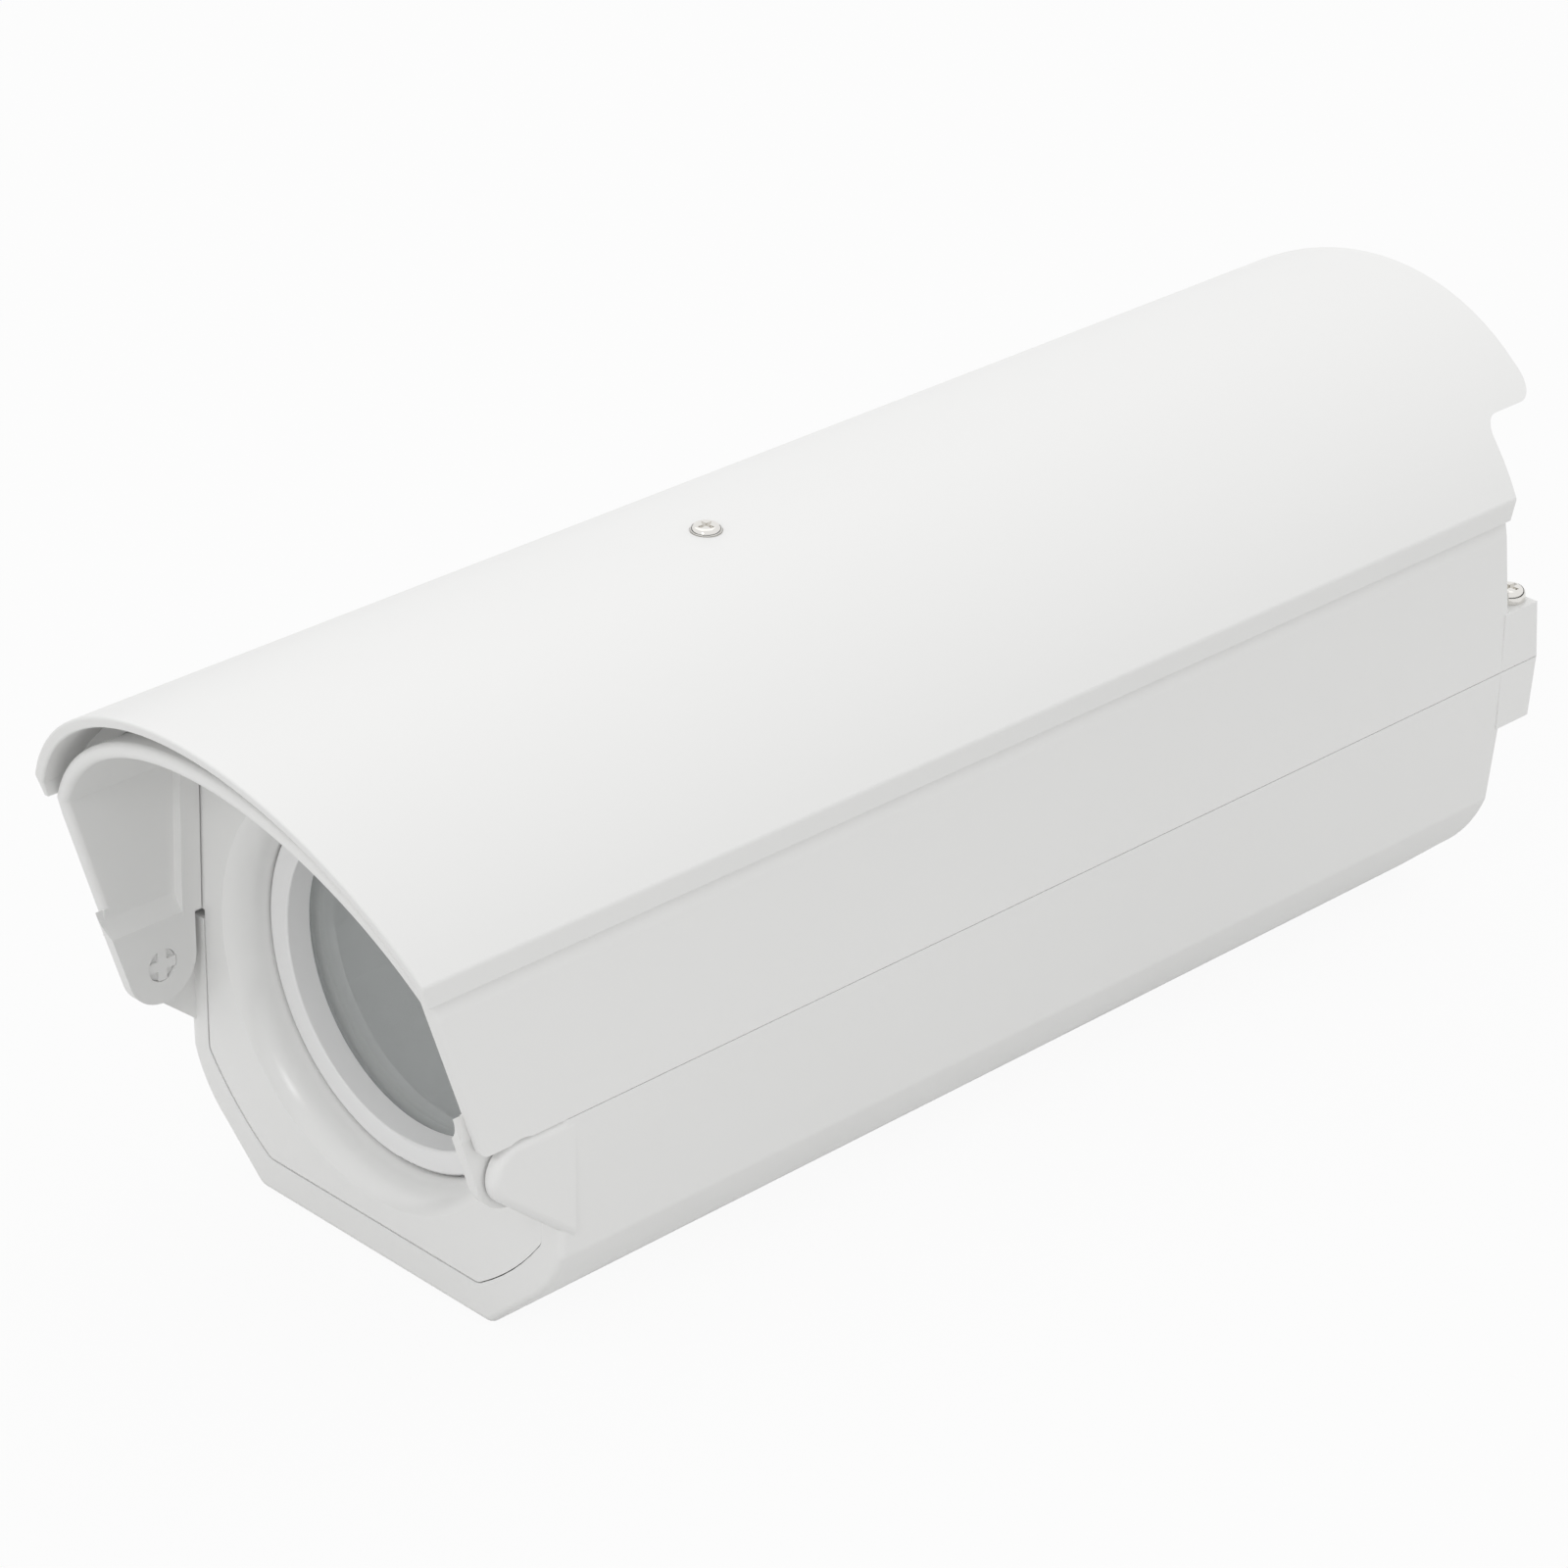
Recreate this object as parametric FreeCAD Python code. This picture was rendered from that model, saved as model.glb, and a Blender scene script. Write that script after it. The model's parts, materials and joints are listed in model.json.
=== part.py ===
# Outdoor camera housing: a tray-shaped lower shell, a hinged cover with a hood, a curved
# sunshield over it, and a flat front panel with a round window.
# Millimetres. +Z up, the window looks along -Y, the origin is the middle of the underside.
import FreeCAD
import Part
import math
import os

Vector = FreeCAD.Vector

# Overall sizes
width = 103.8
seamHeight = 51.2
shieldTop = 119.7
bodyLength = 257.8
frontOverhang = 41.2
rearOverhang = 18.2
wall = 3.0
seamGap = 0.15

# Mould draft away from the seam: sides in millimetres, rear wall in degrees
sideDraft = 0.8
rearDraft = 6.0

# How far a cut or a joined piece runs past a face, and how far a cutting solid stands clear
overrun = 1.0
cutMargin = 10.0

# Lower shell section, inwards from the side
floorInset = 19.9
chamferInset = 9.7
chamferHeight = 9.4
bowInset = 4.3
bowHeight = 15.2
bendHeight = 22.5
rimReveal = 6.8
rimEdge = 1.4
floorRound = 3.0

# How far the corners of a section move for each millimetre of offset
floorShare = 0.4
chamferShare = 0.72
bowShareX = 0.84
bowShareZ = 0.5
bendShare = 0.25
shoulderShare = 0.15

# Roof, hood and sunshield
shieldMargin = 0.6
archSpread = 8.9
shieldWall = 2.2
roofDrop = 6.4
roofTighten = 1.2
eaveInset = 1.3
shoulderDrop = 4.1
skirtHeight = 4.7
skirtLean = 0.6
skirtGap = 0.3
crestRound = 1.2
hoodAngle = 17.8
hoodSetback = 1.2
hoodEdge = 1.3
shieldEdge = 0.45

# Ribs inside the sunshield, which stand on the roof
spacerFront = 16.5
spacerRear = 14.0
spacerThickness = 2.0
spacerPlay = 0.15
spacerLift = 0.5

# Rear end of the sunshield: a raised tongue over short sides
shieldRearAngle = 13.0
tongueHeight = 103.6
tongueRound = 5.0
notchAngle = 7.5
notchInset = 1.6
notchRound = 3.9
cornerPull = 0.3

# Hinge
hingeForward = 9.5
earRadius = 6.4
tabRadius = 7.8
tabRise = 3.0
tabRamp = 5.5
pinRadius = 3.2
pinClearance = 0.1
pinArm = 2.0
pinRecess = 0.2
pinCoreRecess = 0.8
layerGap = 0.6
earSlope = 40.0
earRoundShare = 0.75
tabSlope = 20.0
sweepClear = 0.6

# Rear lugs and cover screws
lugLength = 9.8
lugWidth = 10.8
lugRise = 12.8
lugEdge = 1.2
lugRootDepth = 2.25
lugScrewInset = 4.6
lugScrewBack = 4.3
coverScrewRadius = 1.75
coverScrewLength = 19.0
coverHeadRadius = 3.3
coverHeadHeight = 2.3
coverWasherRadius = 3.2
washerThickness = 0.5
washerClearance = 0.15
screwClearance = 0.3
insertRadius = 2.9
insertLength = 8.0
insertWell = 3.0

# Front panel and window
panelThickness = 3.4
panelRecess = 0.2
panelGap = 0.2
panelInset = 5.9
panelSill = 0.6
panelToe = 17.1
panelKnee = 16.4
panelBow = 1.2
panelCorner = 3.0
panelStep = 1.8
panelCoverGap = 0.7
frontWall = 3.0
windowSill = 4.7
funnelMargin = 5.0
funnelWidth = 4.5
funnelDepth = 7.0
ringDepth = 7.5
ringLength = 4.6
ringWidth = 5.1
ringTaper = 1.0
ringGap = 0.35
ringEdge = 0.5
glassOverlap = 2.6
glassGap = 0.2
glassThickness = 3.0
glassEdge = 0.4
gasketThickness = 1.3
shoulderThickness = 2.0
shoulderStep = 0.4
barrelWall = 4.0
throatGap = 1.0
throatHeight = 12.0
panelScrewRadius = 1.3
panelScrewHeadRadius = 2.6
panelScrewHeadHeight = 1.7
panelScrewLength = 5.2
panelScrewPlay = 0.05
panelScrewHole = 0.1
panelPilotDepth = 2.6
crownShare = 0.7
crossArmShare = 0.28
crossDepthShare = 0.55
crossReachShare = 1.1
panelScrewLow = (12.5, 7.0)
panelScrewHigh = (2.0, 15.5)

# Rib inside the cover
ribSetback = 0.2
ribDepth = 4.4
ribHeight = 2.4
ribRoot = 0.5
ribLift = 2.0

# Seals
sealWidth = 1.6
sealDepth = 1.7
sealPlay = 0.1
panelSealOuter = 0.4
panelSealInner = 1.2
panelSealFoot = 3.0

# Camera plate
plateWidth = 64.0
plateLength = 150.0
plateThickness = 1.5
plateFlange = 6.0
plateFlangeInset = 6.0
plateCorner = 4.0
plateLevel = 10.0
slotWidth = 6.8
slotLength = 94.0
plateScrewX = 24.0
plateScrewY = 64.0
plateScrewRadius = 1.5
plateScrewLength = 7.0
plateHeadRadius = 2.85
plateHeadHeight = 1.8
platePilot = 0.1
pilotFloor = 0.5
postRadius = 4.0
cameraScrewRadius = 3.175
cameraScrewLength = 6.1
cameraNeckRadius = 2.5
cameraNeckLength = 3.4
cameraHeadRadius = 7.5
cameraHeadHeight = 4.5
cameraScrewPlay = 0.1
fluteRadius = 0.7
fluteCount = 16
cameraWasherRadius = 7.0
cameraWasherThickness = 1.5

# Bracket inserts in the floor
bracketX = 20.0
bracketY = 22.0
bracketInsertRadius = 3.0
bracketInsertBore = 2.1
bracketInsertLength = 7.0
bossRadius = 5.4
bossHeight = 8.5

# Cable gland
glandHeight = 26.0
glandBossRadius = 13.0
glandBossRise = 0.5
glandThreadRadius = 7.5
glandBore = 4.6
glandHexWidth = 20.0
glandFlange = 5.0
glandTail = 6.0
glandNutLength = 11.0
glandNutStraight = 6.6
glandNutFloor = 1.5
glandNutGap = 0.3
glandNeck = 7.0
glandNeckStep = 0.6
glandWasherThickness = 1.5
glandWasherRim = 2.4
glandCone = 1.5
glandPlay = 0.1
glandHole = 0.2
glandSealSink = 2.0
glandSealLength = 7.8
glandSealBore = 3.4
locknutLength = 4.0

# Sunshield screw
shieldScrewForward = 34.7
shieldScrewRadius = 1.75
shieldScrewLength = 13.0
shieldHeadRadius = 2.95
shieldHeadHeight = 1.4
shieldSeatDepth = 0.3
shieldSeatPlay = 0.2
shieldWasherRadius = 4.0
shieldWasherThickness = 1.0
shieldWasherPlay = 0.05
shieldScrewPlay = 0.05
shieldBossRadius = 5.0
shieldBossDrop = 5.0

# Places along the length
totalLength = frontOverhang + bodyLength + rearOverhang
shieldFront = -totalLength / 2
shieldRear = totalLength / 2
rimFront = shieldFront + frontOverhang
rearFace = rimFront + bodyLength
windowY = rimFront + ringDepth
panelFront = rimFront + panelRecess
panelBack = panelFront + panelThickness
wallBack = panelBack + frontWall
hingeY = rimFront - hingeForward
ribRear = rimFront - ribSetback
ribFront = ribRear - ribDepth
lugY = rearFace + lugScrewBack

# Places across the width
shieldWidth = width + 2 * shieldMargin
innerHalf = width / 2 - wall
skirtInner = width / 2 - eaveInset + skirtGap
lugX = width / 2 - lugScrewInset
panelHalf = width / 2 - panelInset
funnelRadius = panelHalf - funnelMargin
boreRadius = funnelRadius - funnelWidth
ringBore = boreRadius - ringWidth
glassRadius = ringBore + glassOverlap
shoulderRadius = ringBore - shoulderStep

# Heights
archRadius = shieldWidth / 2 + archSpread
archCentre = shieldTop - archRadius
roofRadius = archRadius - roofTighten
roofTop = shieldTop - roofDrop
roofCentre = roofTop - roofRadius
hingeHeight = seamHeight - earRadius
lugTop = seamHeight + lugRise
panelFloor = rimReveal + panelSill
windowHeight = panelFloor + windowSill + funnelRadius
leanTan = math.tan(math.radians(hoodAngle))

# Flat pads of the cable gland, outside and inside the drafted rear wall
rearTan = math.tan(math.radians(rearDraft))
glandFace = rearFace - rearTan * (seamHeight - glandHeight - glandBossRadius) + glandBossRise
glandPad = wall + 2 * (rearTan * glandBossRadius + glandBossRise)

right = Vector(1, 0, 0)
back = Vector(0, 1, 0)
up = Vector(0, 0, 1)
down = Vector(0, 0, -1)


def archHeight(centre, radius, x):
    """Height of an arch at a distance from the middle plane."""
    return centre + math.sqrt(radius * radius - x * x)


def loop(edges):
    return Part.Wire(Part.__sortEdges__(edges))


def line(a, b):
    return Part.LineSegment(a, b).toShape()


def arc(a, b, c):
    return Part.Arc(a, b, c).toShape()


def tangentArc(start, end, heading):
    """Arc that leaves its start along a heading and reaches its end."""
    chord = end - start
    aside = heading - chord * (heading.dot(chord) / chord.dot(chord))
    sagitta = chord.Length / 2 * math.tan(heading.getAngle(chord) / 2)
    return arc(start, start + chord * 0.5 + aside.normalize() * sagitta, end)


def prism(edges, direction):
    return Part.Face(loop(edges)).extrude(direction)


def polygon(points):
    return Part.makePolygon(points + [points[0]]).Edges


def rod(radius, length, start, axis):
    return Part.makeCylinder(radius, length, start, axis)


def washer(radius, bore, thickness, base, axis):
    disc = rod(radius, thickness, base, axis)
    return disc.cut(rod(bore, thickness, base, axis))


def mirrored(shape):
    return shape.mirror(Vector(0, 0, 0), right)


def both(shape):
    return [shape, mirrored(shape)]


def turned(edges):
    """A closed profile, its radius along X, turned about the window's axis."""
    shape = Part.Face(loop(edges)).revolve(Vector(0, 0, 0), back, 360)
    shape.translate(Vector(0, 0, windowHeight))
    return shape


def hexagon(acrossFlats, length, start):
    """A hexagonal bar along +Y."""
    corner = acrossFlats / 2 / math.cos(math.radians(30))
    points = []
    for k in range(6):
        angle = math.radians(60 * k)
        points.append(start + Vector(corner * math.cos(angle), 0, corner * math.sin(angle)))
    return prism(polygon(points), Vector(0, length, 0))


def lowerPrism(inset, top, start, end):
    """The lower section, pushed in by an inset: flat floor, bowed chamfers, drafted sides."""
    half = width / 2 - inset
    floor = width / 2 - floorInset - inset * floorShare
    mid = Vector(width / 2 - chamferInset - inset * chamferShare, start, chamferHeight + inset * chamferShare)
    bow = Vector(width / 2 - bowInset - inset * bowShareX, start, bowHeight + inset * bowShareZ)
    bend = Vector(half - sideDraft, start, bendHeight + inset * bendShare)
    brow = Vector(half + sideDraft * (top - seamHeight) / (seamHeight - bendHeight), start, top)
    side = prism([
        line(Vector(0, start, inset), Vector(floor, start, inset)),
        line(Vector(floor, start, inset), mid),
        arc(mid, bow, bend),
        line(bend, brow),
        line(brow, Vector(0, start, top)),
        line(Vector(0, start, top), Vector(0, start, inset)),
    ], Vector(0, end - start, 0))
    return side.fuse(mirrored(side)).removeSplitter()


def coverPrism(inset, bottom, start, end):
    """The cover section, pushed in by an inset: drafted sides, steep shoulders, arched roof."""
    half = width / 2 - inset
    radius = roofRadius - inset
    eave = half - eaveInset
    outerSpring = archHeight(roofCentre, roofRadius, width / 2 - eaveInset)
    shoulderHeight = outerSpring - shoulderDrop
    crest = Vector(0, start, roofCentre + radius)
    spring = Vector(eave, start, archHeight(roofCentre, radius, eave))
    shoulder = Vector(half - sideDraft, start, shoulderHeight - inset * shoulderShare)
    flare = sideDraft * (seamHeight - bottom) / (shoulderHeight - seamHeight)
    foot = Vector(half + flare, start, bottom)
    flip = [Vector(-p.x, start, p.z) for p in (foot, shoulder, spring)]
    return prism([
        line(flip[0], foot),
        line(foot, shoulder),
        line(shoulder, spring),
        arc(spring, crest, flip[2]),
        line(flip[2], flip[1]),
        line(flip[1], flip[0]),
    ], Vector(0, end - start, 0))


def coverCavity(bottom, start, end):
    """The hollow of the cover: straight drafted sides up to the arch of the roof."""
    radius = roofRadius - wall
    eave = innerHalf - eaveInset
    crest = Vector(0, start, roofCentre + radius)
    spring = Vector(eave, start, archHeight(roofCentre, radius, eave))
    flare = eaveInset * (seamHeight - bottom) / (spring.z - seamHeight)
    foot = Vector(innerHalf + flare, start, bottom)
    flip = [Vector(-p.x, start, p.z) for p in (foot, spring)]
    return prism([
        line(flip[0], foot),
        line(foot, spring),
        arc(spring, crest, flip[1]),
        line(flip[1], flip[0]),
    ], Vector(0, end - start, 0))


def rearWedge(offset, rise):
    """Everything behind the drafted rear plane, from the seam up (rise 1) or down (rise -1)."""
    x = -shieldWidth
    reach = shieldTop
    start = rearFace + offset
    far = shieldRear + cutMargin
    return prism(polygon([
        Vector(x, start, seamHeight),
        Vector(x, start - rearTan * reach, seamHeight + rise * reach),
        Vector(x, far, seamHeight + rise * reach),
        Vector(x, far, seamHeight),
    ]), Vector(2 * shieldWidth, 0, 0))


def panelOutline(grow, y):
    """Edges of the front panel: bowed chamfers below, a step above the seam, an arched top."""
    lower = panelHalf + grow
    upper = innerHalf - panelCoverGap + grow
    radius = roofRadius - wall - panelCoverGap + grow
    step = seamHeight + panelStep - grow
    toe = Vector(panelHalf - panelToe + grow * floorShare, y, panelFloor - grow)
    knee = Vector(lower, y, panelFloor + panelKnee - grow * floorShare)
    slant = (knee - toe).normalize()
    bow = (toe + knee) * 0.5 + Vector(slant.z, 0, -slant.x) * panelBow
    eave = upper - eaveInset
    side = [
        knee,
        Vector(lower, y, step),
        Vector(upper, y, step),
        Vector(eave, y, archHeight(roofCentre, radius, eave)),
    ]
    flip = [Vector(-p.x, y, p.z) for p in side]
    toeFlip, bowFlip = [Vector(-p.x, y, p.z) for p in (toe, bow)]
    edges = [line(toeFlip, toe), arc(toe, bow, knee), arc(toeFlip, bowFlip, flip[0])]
    for points in (side, flip):
        for a, b in zip(points, points[1:]):
            edges.append(line(a, b))
    edges.append(arc(side[-1], Vector(0, y, roofCentre + radius), flip[-1]))
    return edges


def panelBlock(grow, start, depth):
    """The panel outline as a solid, with its lower corners rounded."""
    block = prism(panelOutline(grow, start), Vector(0, depth, 0))
    corners = [e for e in block.Edges
               if e.BoundBox.YLength > depth / 2
               and e.CenterOfMass.z < panelFloor + panelKnee + panelCorner]
    return block.makeFillet(panelCorner + grow, corners)


def panScrew(shank, length, headRadius, headHeight, seat, axis):
    """Pan-head screw whose domed head, with a cross recess, stands on the seat."""
    head = rod(headRadius, headHeight, seat, axis)
    crown = [e for e in head.Edges if e.Curve.TypeId == "Part::GeomCircle"
             and (e.CenterOfMass - seat).dot(axis) > headHeight / 2]
    screw = head.makeFillet(headHeight * crownShare, crown).fuse(rod(shank, length, seat, axis * -1))
    blade = headRadius * crossReachShare
    thick = headRadius * crossArmShare
    depth = headHeight * crossDepthShare
    for turn in (0, 90):
        slot = Part.makeBox(blade, thick, depth * 2, Vector(-blade / 2, -thick / 2, -depth))
        slot.rotate(Vector(0, 0, 0), up, turn)
        crownPlace = FreeCAD.Placement(seat + axis * headHeight, FreeCAD.Rotation(up, axis))
        slot.Placement = crownPlace * slot.Placement
        screw = screw.cut(slot)
    return screw


def leanCut(setback):
    """Everything in front of the leaning plane of the hood or sunshield."""
    x = -shieldWidth
    high = shieldTop + cutMargin
    foot = Vector(x, shieldFront + setback + leanTan * (shieldTop + cutMargin), -cutMargin)
    crest = Vector(x, shieldFront + setback - leanTan * cutMargin, high)
    far = shieldFront - frontOverhang
    return prism(polygon([foot, crest, Vector(x, far, high), Vector(x, far, -cutMargin)]),
                 Vector(2 * shieldWidth, 0, 0))


def roundFront(shell, radius):
    """Round the long edges of the leaning front face of a shell."""
    lean = Vector(0, math.cos(math.radians(hoodAngle)), math.sin(math.radians(hoodAngle)))
    front = min(shell.Faces, key=lambda f: f.CenterOfMass.dot(lean))
    return shell.makeFillet(radius, front.Edges)


def sealGroove(grow, bottom, top):
    """U-shaped strip round the sides and rear of the seam, from the front wall back."""
    edge = (wall - sealWidth) / 2
    outer = width / 2 - edge + grow
    inner = outer - sealWidth - 2 * grow
    start = panelBack + frontWall / 2 - grow
    rear = rearFace - edge + grow
    inside = rear - sealWidth - 2 * grow
    block = Part.makeBox(2 * outer, rear - start, top - bottom, Vector(-outer, start, bottom))
    core = Part.makeBox(2 * inner, inside - start + cutMargin, top - bottom,
                        Vector(-inner, start - cutMargin, bottom))
    return block.cut(core)


def panelScrewPlaces():
    """Screw centres on the right half of the front wall, round the window barrel."""
    return [
        (panelHalf - panelScrewLow[0], rimReveal + panelScrewLow[1]),
        (panelHalf - panelScrewHigh[0], windowHeight - panelScrewHigh[1]),
    ]


def makeEar():
    """Outer hinge ear of the lower shell with its cross-shaped pivot pin."""
    outer = width / 2
    inner = innerHalf + layerGap
    slope = math.radians(earSlope)
    centre = Vector(inner, hingeY, hingeHeight)
    touch = centre + Vector(0, -earRadius * math.sin(slope), -earRadius * math.cos(slope))
    front = centre + Vector(0, -earRadius, 0)
    top = Vector(inner, hingeY, seamHeight)
    root = rimFront + wall
    low = Vector(inner, root, touch.z - (root - touch.y) * math.tan(slope))
    blank = prism([
        line(top, Vector(inner, root, top.z)),
        line(Vector(inner, root, top.z), low),
        line(low, touch),
        arc(touch, front, top),
    ], Vector(outer - inner, 0, 0))
    rim = [e for e in blank.Edges if abs(e.CenterOfMass.x - outer) < 0.01
           and e.CenterOfMass.y < rimFront and e.CenterOfMass.z > low.z]
    blank = blank.makeFillet((outer - inner) * earRoundShare, rim)
    pinStart = centre + Vector(pinRecess - wall, 0, 0)
    pin = rod(pinRadius, wall - pinRecess + overrun, pinStart, right)
    cross = Part.makeBox(3 * wall, pinArm, 2 * pinRadius, centre - Vector(wall, pinArm / 2, pinRadius))
    cross = cross.fuse(Part.makeBox(3 * wall, 2 * pinRadius, pinArm,
                                    centre - Vector(wall, pinRadius, pinArm / 2)))
    core = rod(pinRadius, wall, centre + Vector(pinCoreRecess - wall, 0, 0), right)
    return blank.fuse(pin.common(cross)).fuse(core)


def makeLug(rise):
    """Screw lug on the rear wall, above (rise 1) or below (rise -1) the seam, with the wall's draft."""
    x = width / 2 - lugWidth
    near = seamHeight + (seamGap if rise > 0 else 0)
    far = seamHeight + rise * lugRise
    end = rearFace + lugLength
    start = rearFace - lugRootDepth
    lug = prism(polygon([
        Vector(x, start, near),
        Vector(x, end, near),
        Vector(x, end - rearTan * lugRise, far),
        Vector(x, start, far),
    ]), Vector(lugWidth, 0, 0))
    behind = [e for e in lug.Edges if e.CenterOfMass.y > rearFace]
    corners = [e for e in behind if e.BoundBox.ZLength > lugRise / 2]
    if rise > 0:
        corners += [e for e in behind
                    if e.CenterOfMass.z > far - overrun and e.BoundBox.XLength > lugWidth / 2]
    return lug.makeFillet(lugEdge, corners)


def makeLowerShell():
    shell = lowerPrism(0, seamHeight, rimFront, rearFace)
    keel = [e for e in shell.Edges
            if e.BoundBox.YLength > bodyLength / 2 and e.CenterOfMass.z < bendHeight + overrun]
    shell = shell.makeFillet(floorRound, keel)
    edge = [e for e in shell.Edges if e.BoundBox.YLength < 0.01
            and abs(e.CenterOfMass.y - rimFront) < 0.01 and e.CenterOfMass.z < seamHeight - overrun]
    shell = shell.makeFillet(rimEdge, edge).cut(rearWedge(0, -1))
    cavity = lowerPrism(wall, seamHeight + cutMargin, wallBack, rearFace - wall)
    shell = shell.cut(cavity.cut(rearWedge(-wall, -1)))
    opening = panelBlock(panelGap, rimFront - cutMargin, panelBack - rimFront + cutMargin)
    throatRadius = boreRadius + barrelWall + throatGap
    throatStart = Vector(0, panelBack - overrun, windowHeight)
    throat = rod(throatRadius, frontWall + 2 * overrun, throatStart, back)
    above = Part.makeBox(2 * throatRadius, frontWall + 2 * overrun, throatHeight,
                         throatStart - Vector(throatRadius, 0, 0))
    shell = shell.cut(opening.fuse(throat).fuse(above))
    for piece in both(makeEar()) + both(makeLug(-1)):
        shell = shell.fuse(piece)
    shell = shell.fuse(rod(glandBossRadius, glandPad, glandPlace(-glandPad), back))
    for sx in (-1, 1):
        top = Vector(sx * lugX, lugY, seamHeight)
        shell = shell.cut(rod(insertRadius, insertLength, top, down))
        shell = shell.cut(rod(coverScrewRadius + screwClearance, insertLength + insertWell, top, down))
        for x, z in panelScrewPlaces():
            shell = shell.cut(rod(panelScrewRadius + panelScrewHole, frontWall + 2 * overrun,
                                  Vector(sx * x, panelBack - overrun, z), back))
        for sy in (-1, 1):
            plateFoot = Vector(sx * plateScrewX, sy * plateScrewY, wall)
            bracketFoot = Vector(sx * bracketX, sy * bracketY, 0)
            post = rod(postRadius, plateLevel - wall + overrun, plateFoot - Vector(0, 0, overrun), up)
            pilot = rod(plateScrewRadius + platePilot, plateLevel, plateFoot + Vector(0, 0, pilotFloor), up)
            boss = rod(bossRadius, bossHeight - overrun, bracketFoot + Vector(0, 0, overrun), up)
            pocket = rod(bracketInsertRadius, bracketInsertLength, bracketFoot, up)
            shell = shell.fuse(post).fuse(boss).cut(pilot).cut(pocket)
    glandStart = glandPlace(-glandPad - overrun)
    shell = shell.cut(rod(glandThreadRadius + glandHole, glandPad + 2 * overrun, glandStart, back))
    return shell.cut(sealGroove(sealPlay, seamHeight - sealDepth, seamHeight + cutMargin)).removeSplitter()


def makeHoodTab():
    """Inset hinge tab below the hood side, eased into the wall above it."""
    outer = innerHalf
    inner = outer - wall + layerGap
    lean = math.radians(hoodAngle)
    turn = math.radians(tabSlope)
    centre = Vector(inner, hingeY, hingeHeight)
    top = seamHeight + tabRise
    touch = centre + Vector(0, -tabRadius * math.cos(lean), -tabRadius * math.sin(lean))
    reach = Vector(inner, touch.y - leanTan * (top - touch.z), top)
    heel = centre + Vector(0, tabRadius, 0)
    low = centre + Vector(0, tabRadius * math.sin(turn), -tabRadius * math.cos(turn))
    rear = Vector(inner, heel.y, top)
    blank = prism([
        line(reach, rear),
        line(rear, heel),
        arc(heel, low, touch),
        line(touch, reach),
    ], Vector(outer - inner, 0, 0))
    edge = reach + Vector(0, -leanTan * tabRamp, 0)
    foot = Vector(outer, edge.y, top)
    brow = Vector(outer, edge.y, top + tabRamp)
    ramp = prism([
        tangentArc(brow, edge, down),
        line(edge, foot),
        line(foot, brow),
    ], Vector(0, heel.y - edge.y, 0))
    setback = touch.y + leanTan * touch.z - shieldFront - leanTan * shieldTop
    root = Part.makeBox(layerGap, heel.y - reach.y, tabRamp, Vector(outer - layerGap / 2, reach.y, top))
    return blank.fuse(ramp).fuse(root).cut(leanCut(setback))


def makeUpperShell():
    bottom = seamHeight + seamGap
    shell = coverPrism(0, bottom, shieldFront - cutMargin, rearFace).cut(rearWedge(0, 1))
    cavity = coverCavity(bottom - cutMargin, shieldFront - 2 * cutMargin, rearFace - wall)
    shell = shell.cut(cavity.cut(rearWedge(-wall, 1)))
    rib = coverPrism(wall - ribRoot, bottom + ribLift, ribFront, ribRear)
    inside = coverPrism(wall + ribHeight, bottom - cutMargin, ribFront - overrun, ribRear + overrun)
    shell = roundFront(shell.fuse(rib.cut(inside)).cut(leanCut(hoodSetback)), hoodEdge)
    sweepStart = Vector(innerHalf + layerGap / 2, hingeY, hingeHeight)
    for sweep in both(rod(earRadius + sweepClear, width, sweepStart, right)):
        shell = shell.cut(sweep)
    for piece in both(makeHoodTab()) + both(makeLug(1)):
        shell = shell.fuse(piece)
    hinge = Vector(-width, hingeY, hingeHeight)
    shell = shell.cut(rod(pinRadius + pinClearance, 2 * width, hinge, right))
    for sx in (-1, 1):
        shell = shell.cut(rod(coverScrewRadius + screwClearance, lugRise + 2 * overrun,
                              Vector(sx * lugX, lugY, bottom - overrun), up))
    foot = Vector(0, -shieldScrewForward, roofTop - wall - shieldBossDrop)
    under = rod(archRadius - shieldWall - shieldWasherThickness, 4 * shieldBossRadius,
                Vector(0, foot.y - 2 * shieldBossRadius, archCentre), back)
    post = rod(shieldBossRadius, shieldTop - foot.z, foot, up).common(under)
    pilot = rod(shieldScrewRadius, shieldTop, foot - Vector(0, 0, overrun), up)
    return shell.fuse(post).cut(pilot).removeSplitter()


def shieldCrest():
    return archHeight(archCentre, archRadius, shieldWidth / 2)


def shieldSection(y):
    """Edges of the sunshield section: a broad arch ending in short thin skirts."""
    half = shieldWidth / 2
    innerRadius = archRadius - shieldWall
    crest = Vector(half, y, shieldCrest())
    tip = Vector(half - skirtLean, y, crest.z - skirtHeight)
    inside = Vector(skirtInner, y, tip.z)
    spring = Vector(skirtInner, y, archHeight(archCentre, innerRadius, skirtInner))
    flip = [Vector(-p.x, y, p.z) for p in (crest, tip, inside, spring)]
    return [
        arc(flip[0], Vector(0, y, shieldTop), crest),
        line(crest, tip),
        line(tip, inside),
        line(inside, spring),
        arc(spring, Vector(0, y, archCentre + innerRadius), flip[3]),
        line(flip[3], flip[2]),
        line(flip[2], flip[1]),
        line(flip[1], flip[0]),
    ]


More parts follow.
